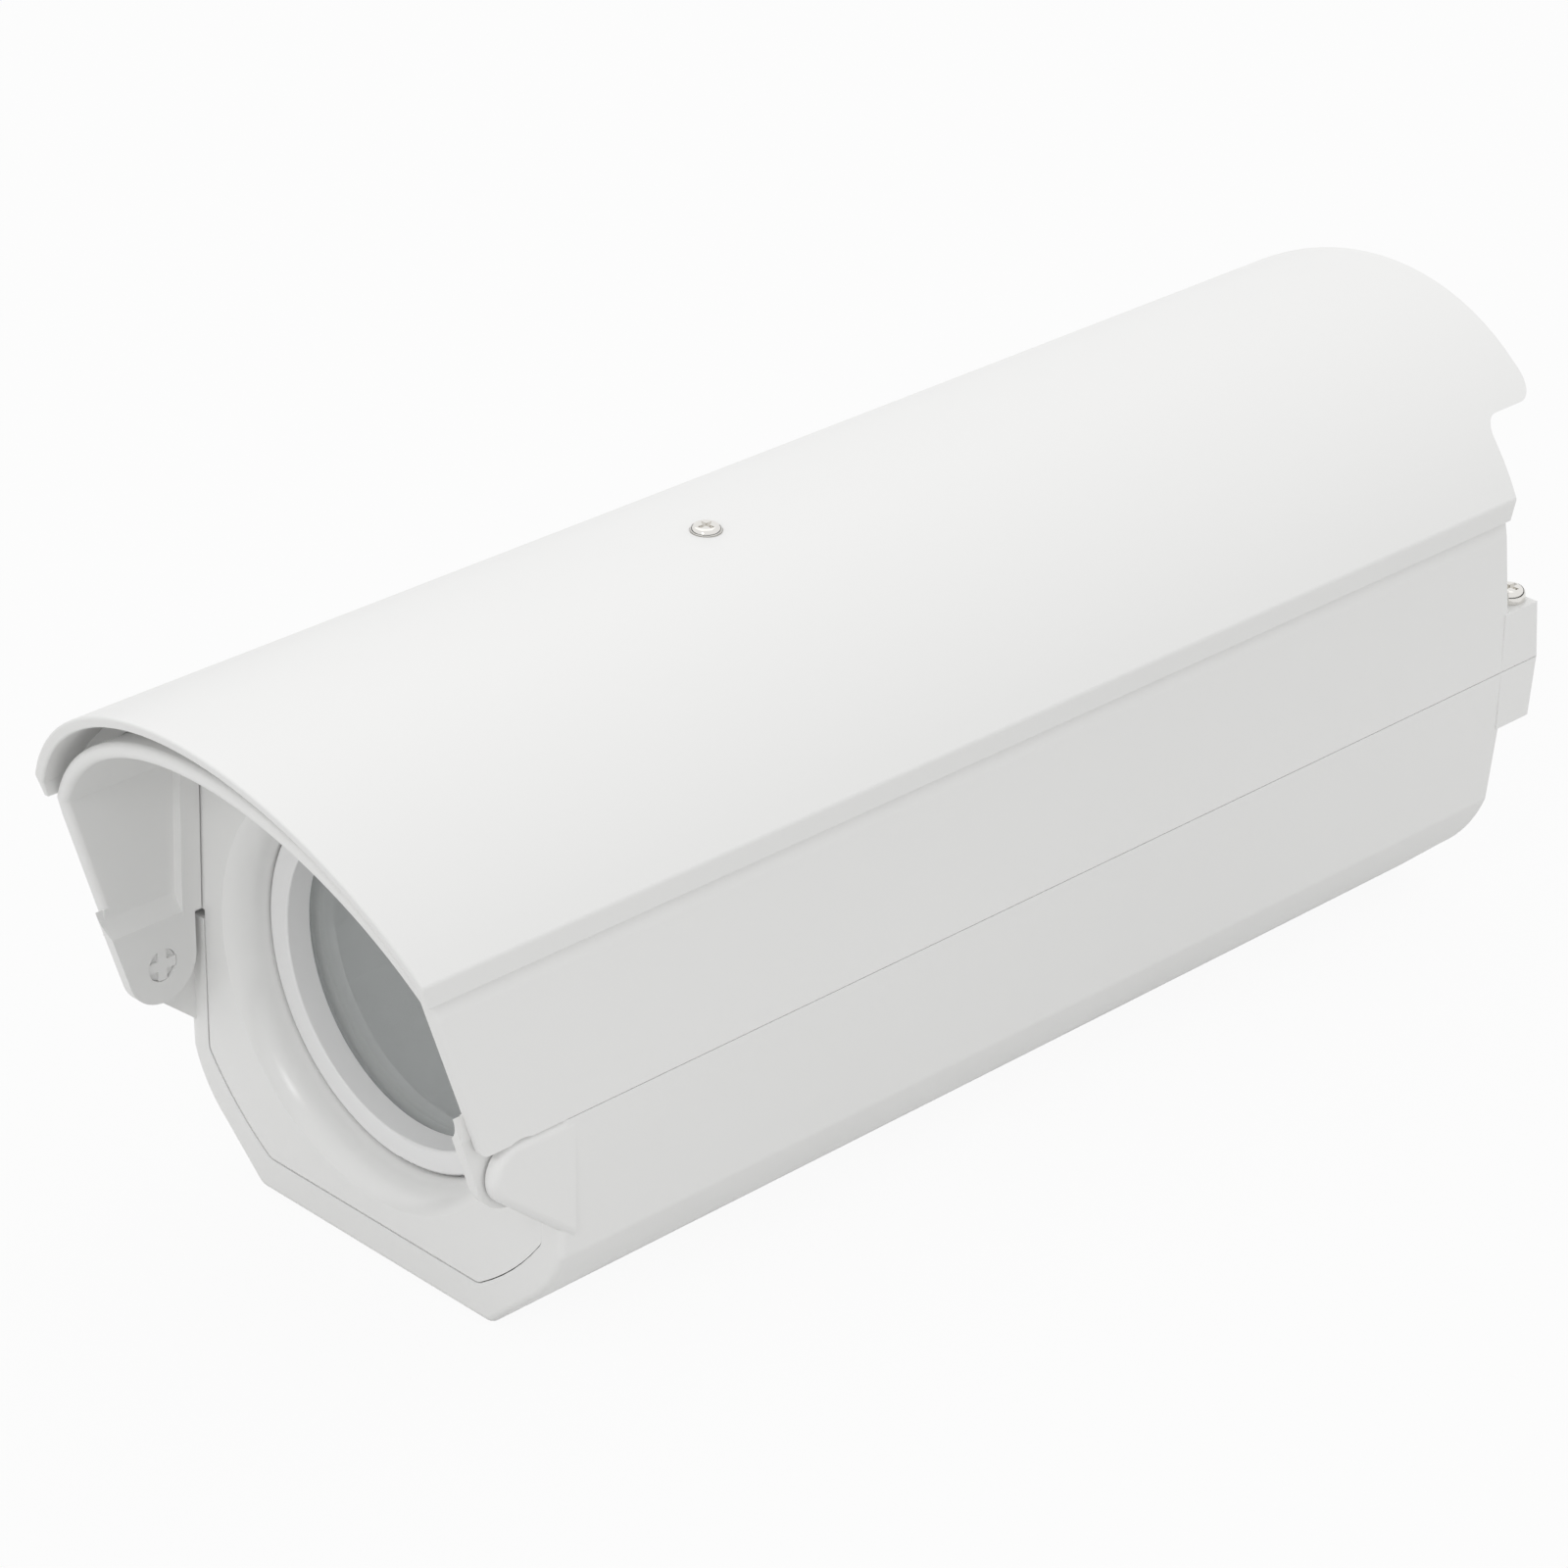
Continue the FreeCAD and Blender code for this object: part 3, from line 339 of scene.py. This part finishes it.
# How meshes are finished: points this near are one, edges steeper than that many degrees are
# sharp, and a face that points this nearly along the axis is flat
finishing = {"weld": 0.0005, "sharp": 38, "flat": 0.999}


def newPiece(name, bm, slotName, body, axis, *replaced):
    # bm is a turned part in millimetres that points along the axis with that number, and its
    # faces across that axis stay flat; the piece takes the place of the nodes named last
    bmesh.ops.remove_doubles(bm, verts=bm.verts, dist=finishing["weld"])
    bmesh.ops.recalc_face_normals(bm, faces=bm.faces)
    bm.transform(Matrix.Scale(mm, 4))
    mesh = bpy.data.meshes.new(name)
    bm.to_mesh(mesh)
    bm.free()
    mesh.set_sharp_from_angle(angle=math.radians(finishing["sharp"]))
    for face in mesh.polygons:
        face.use_smooth = abs(face.normal[axis]) < finishing["flat"]
    mesh.materials.append(finishes[slotName])
    piece = bpy.data.objects.new(name, mesh)
    bpy.context.scene.collection.objects.link(piece)
    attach(piece, body)
    if replaced:
        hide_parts(*replaced)
    return piece


def turnRings(bm, rings, segments, closed=False):
    # rings are (radius, height, share of the radius that every other point keeps)
    loops = []
    for radius, height, keep in rings:
        verts = bmesh.ops.create_circle(bm, segments=segments, radius=radius,
                                        matrix=Matrix.Translation((0, 0, height)))["verts"]
        for v in verts[::2]:
            v.co.x *= keep
            v.co.y *= keep
        loops.append([e for e in bm.edges if e.verts[0] in verts and e.verts[1] in verts])
    for a, b in zip(loops, loops[1:] + loops[:1] if closed else loops[1:]):
        bmesh.ops.bridge_loops(bm, edges=a + b)
    if not closed:
        bmesh.ops.contextual_create(bm, geom=loops[0])
        bmesh.ops.contextual_create(bm, geom=loops[-1])


# Threads: a ridge takes this share of the pitch at its root, the thread of a small screw is that
# deep as a share of the pitch, and a root is sunk this far into what it runs round, in millimetres
thread = {"ridge": 0.84, "depth": 0.45, "sunk": 0.05}


def windThread(bm, root, crest, pitch, low, high, steps=20):
    # a pointed ridge wound from low to high, closed at both ends
    ridge = pitch * thread["ridge"]
    corners = [bm.verts.new((root, 0, low)), bm.verts.new((crest, 0, low + ridge / 2)),
               bm.verts.new((root, 0, low + ridge))]
    edges = [bm.edges.new((corners[k], corners[(k + 1) % 3])) for k in range(3)]
    turns = (high - low) / pitch - 1
    made = bmesh.ops.spin(bm, geom=corners + edges, cent=(0, 0, 0), axis=(0, 0, 1),
                          dvec=(0, 0, pitch / steps), angle=2 * math.pi * turns,
                          steps=round(turns * steps), use_merge=False)
    last = [g for g in made["geom_last"] if isinstance(g, bmesh.types.BMEdge)]
    bmesh.ops.contextual_create(bm, geom=edges)
    bmesh.ops.contextual_create(bm, geom=last)


def cutSlot(bm, turn, reach, arm, depth, floorReach, top):
    # a slot cut into the top of a head, turned by so many degrees, as far as reach at the top
    # and floorReach at the floor
    bmesh.ops.recalc_face_normals(bm, faces=bm.faces)
    blade = bmesh.new()
    for v in bmesh.ops.create_cube(blade, size=2)["verts"]:
        wide = 2 * reach - floorReach if v.co.z > 0 else floorReach
        v.co = (v.co.x * wide, v.co.y * arm / 2, top + v.co.z * depth)
    bmesh.ops.rotate(blade, verts=blade.verts, matrix=Matrix.Rotation(math.radians(turn), 3, "Z"))
    things = []
    for name, shape in (("head", bm), ("blade", blade)):
        mesh = bpy.data.meshes.new(name)
        shape.to_mesh(mesh)
        things.append(bpy.data.objects.new(name, mesh))
        bpy.context.scene.collection.objects.link(things[-1])
    blade.free()
    cut = things[0].modifiers.new("slot", "BOOLEAN")
    cut.object = things[1]
    cut.operation = "DIFFERENCE"
    cut.solver = "EXACT"
    graph = bpy.context.evaluated_depsgraph_get()
    done = bpy.data.meshes.new_from_object(things[0].evaluated_get(graph))
    bm.clear()
    bm.from_mesh(done)
    for thing in things:
        bpy.data.objects.remove(thing)


def repeatAt(one, places):
    # copies of one mesh, each moved by its own matrix
    whole = bmesh.new()
    single = bpy.data.meshes.new("one")
    one.to_mesh(single)
    one.free()
    for place in places:
        known = len(whole.verts)
        whole.from_mesh(single)
        whole.verts.ensure_lookup_table()
        bmesh.ops.transform(whole, matrix=place, verts=whole.verts[known:])
    return whole


# Pan-head machine screws, cold headed and nickel plated: a flat top that rounds over into a short
# upright side, a cross recess whose arms run in towards its floor, and a rolled thread.
# All in millimetres.
shieldScrew = {"head": 2.95, "height": 1.4, "side": 0.3, "crown": 1.05, "reach": 1.75, "arm": 0.8,
               "recess": 0.95, "floor": 0.45, "shank": 1.7, "length": 13.0, "pitch": 0.9}
coverScrew = {"head": 3.3, "height": 2.3, "side": 0.6, "crown": 1.25, "reach": 1.95, "arm": 0.9,
              "recess": 1.4, "floor": 0.5, "shank": 1.75, "length": 19.0, "pitch": 0.9}
plateScrew = {"head": 2.85, "height": 1.8, "side": 0.45, "crown": 1.0, "reach": 1.7, "arm": 0.75,
              "recess": 1.1, "floor": 0.4, "shank": 1.5, "length": 7.0, "pitch": 1.1}
panelScrew = {"head": 2.6, "height": 1.7, "side": 0.45, "crown": 0.95, "reach": 1.5, "arm": 0.7,
              "recess": 1.0, "floor": 0.4, "shank": 1.25, "length": 5.2, "pitch": 1.0,
              "lowerInwards": 10.5}
crownSteps = 8


def makeScrew(s):
    # the seat of the head is at the origin and the head points up
    bm = bmesh.new()
    rings = [(s["head"], 0, 1)]
    for k in range(crownSteps + 1):
        turn = math.pi / 2 * k / crownSteps
        rings.append((s["head"] - s["crown"] * (1 - math.cos(turn)),
                      s["side"] + (s["height"] - s["side"]) * math.sin(turn), 1))
    turnRings(bm, rings, 64)
    for turn in (0, 90):
        cutSlot(bm, turn, s["reach"], s["arm"], s["recess"], s["floor"], s["height"])
    core = s["shank"] - s["pitch"] * thread["depth"]
    end, tip = -s["length"], s["shank"] * 0.5 - s["length"]
    shank = bmesh.new()
    turnRings(shank, [(core * 0.6, end, 1), (core, tip, 1), (core, 0.1, 1)], 32)
    windThread(shank, core - thread["sunk"], s["shank"], s["pitch"], tip, -s["pitch"] * 0.5)
    mesh = bpy.data.meshes.new("shank")
    shank.to_mesh(mesh)
    shank.free()
    bm.from_mesh(mesh)
    return bm


def ends(low, high, radius):
    # where the middles of round pieces lie along one side of a node's box, in millimetres
    near, far = low / mm + radius, high / mm - radius
    return (near, far) if far - near > radius else ((near + far) / 2,)


def uprightScrews(name, node, s, body):
    low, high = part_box(node)
    seat = high[2] / mm - s["height"]
    places = [Matrix.Translation((x, y, seat))
              for x in ends(low[0], high[0], s["head"]) for y in ends(low[1], high[1], s["head"])]
    newPiece(name, repeatAt(makeScrew(s), places), "steel_screw", body, 2, node)


uprightScrews("sunshieldScrew", "sunshield_screw", shieldScrew, "cover")
uprightScrews("coverScrews", "cover_screws", coverScrew, "cover")
uprightScrews("cameraPlateScrews", "camera_plate_screws", plateScrew, "base")


def makePanelScrews():
    low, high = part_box("panel_screws")
    turn = Matrix.Rotation(math.radians(-90), 4, "X")
    seat = high[1] / mm - panelScrew["height"]
    places = []
    heights = ends(low[2], high[2], panelScrew["head"])
    for z, inwards in zip(heights, (panelScrew["lowerInwards"], 0)):
        left, right = ends(low[0], high[0], panelScrew["head"])
        for x in (left + inwards, right - inwards):
            places.append(Matrix.Translation((x, seat, z)) @ turn)
    newPiece("panelScrews", repeatAt(makeScrew(panelScrew), places), "steel_screw", "base", 1,
             "panel_screws")


makePanelScrews()

# Camera screw: a quarter-inch thumb screw, turned brass, nickel plated, with a straight knurl
# and a coin slot underneath
thumbScrew = {"head": 7.5, "height": 4.5, "ridges": 60, "ridge": 0.955, "edge": 0.5, "rim": 6.9,
              "neck": 2.5, "neckLength": 3.4, "thread": 3.175, "pitch": 1.27, "threadDepth": 0.6,
              "point": 0.7, "coinSlot": 1.5, "slotDepth": 1.3}


def makeThumbScrew():
    t = thumbScrew
    low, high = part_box("camera_screw")
    bm = bmesh.new()
    plain, knurled = 1, t["ridge"]
    turnRings(bm, [(t["rim"], -t["height"], plain), (t["head"], t["edge"] - t["height"], knurled),
                   (t["head"], -t["edge"], knurled), (t["rim"], 0, plain)], 2 * t["ridges"])
    bmesh.ops.rotate(bm, verts=bm.verts, matrix=Matrix.Rotation(math.pi, 3, "X"))
    cutSlot(bm, 0, 2 * t["head"], t["coinSlot"], t["slotDepth"], 2 * t["head"], t["height"])
    bmesh.ops.rotate(bm, verts=bm.verts, matrix=Matrix.Rotation(math.pi, 3, "X"))
    top = (high[2] - low[2]) / mm - t["height"]
    core = t["thread"] - t["threadDepth"] * t["pitch"]
    neckEnd = t["neckLength"]
    turnRings(bm, [(t["neck"], -0.1, 1), (t["neck"], neckEnd, 1), (core, neckEnd + 0.1, 1),
                   (core, top - t["point"], 1), (core - 0.6, top, 1)], 48)
    windThread(bm, core - thread["sunk"], t["thread"], t["pitch"], neckEnd, top - 0.4, 32)
    middle = [(a + b) / 2 / mm for a, b in zip(low, high)]
    bm.transform(Matrix.Translation((middle[0], middle[1], low[2] / mm + t["height"])))
    newPiece("cameraScrew", bm, "steel_screw", "camera_stud", 2, "camera_screw")


makeThumbScrew()

# Threaded inserts: turned brass sleeves with two knurled bands, pressed hot into the plastic
coverInsert = {"radius": 2.9, "bore": 2.05, "length": 8.0, "ridge": 0.95, "pitch": 0.9}
bracketInsert = {"radius": 3.0, "bore": 2.1, "length": 7.0, "ridge": 0.95, "pitch": 1.27}
# the same on both, in millimetres: the plain collar at the open end, the bevel of its mouth and
# the thread's distance from both ends; then the share of the radius left between the bands
insertEnds = {"collar": 0.7, "step": 0.1, "mouth": 0.3, "waist": 0.9}


def makeInsert(s):
    # open end at the origin, sleeve going up
    bm = bmesh.new()
    r, long, b, band = s["radius"], s["length"], s["bore"], s["ridge"]
    collar, step, mouth = (insertEnds[k] for k in ("collar", "step", "mouth"))
    neck, waist = r - step, r * insertEnds["waist"]
    rings = [(neck - 0.15, 0, 1), (neck, 0.15, 1), (neck, collar, 1), (r, collar + step, band),
             (r, long * 0.42, band), (waist, long * 0.44, 1), (waist, long * 0.56, 1),
             (r, long * 0.58, band), (r, long - 0.5, band), (waist, long, 1), (b, long, 1),
             (b, mouth + 0.05, 1), (b + mouth, 0, 1)]
    turnRings(bm, rings, 72, closed=True)
    windThread(bm, b + 0.02, b - s["pitch"] * 0.3, s["pitch"], mouth, long - mouth)
    return bm


def placeInserts(name, node, s, fromTop):
    low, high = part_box(node)
    face = high[2] / mm if fromTop else low[2] / mm
    turn = Matrix.Rotation(math.pi, 4, "X") if fromTop else Matrix.Identity(4)
    places = [Matrix.Translation((x, y, face)) @ turn
              for x in ends(low[0], high[0], s["radius"])
              for y in ends(low[1], high[1], s["radius"])]
    newPiece(name, repeatAt(makeInsert(s), places), "brass_insert", "base", 2, node)


placeInserts("coverInserts", "cover_screw_inserts", coverInsert, True)
placeInserts("bracketInserts", "bracket_inserts", bracketInsert, False)
print("screws and inserts made")


def makeWindowPane():
    # a disc with bevelled edges that stands a hair clear of the ring and the gasket
    low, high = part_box("window_glass")
    play, bevel = pane["play"], pane["bevel"]
    radius = (high[0] - low[0]) / 2 / mm
    thickness = (high[1] - low[1]) / mm
    bm = bmesh.new()
    back = thickness - play
    turnRings(bm, [(radius - bevel, play, 1), (radius, bevel + play, 1),
                   (radius, back - bevel, 1), (radius - bevel, back, 1)], 128)
    middle = Vector((low[0] + high[0], 2 * low[1], low[2] + high[2])) / 2 / mm
    bm.transform(Matrix.Translation(middle) @ Matrix.Rotation(math.radians(-90), 4, "X"))
    newPiece("windowPane", bm, "clear_window", "base", 1, "window_glass")


makeWindowPane()
print("window pane made")

print("scene ready")
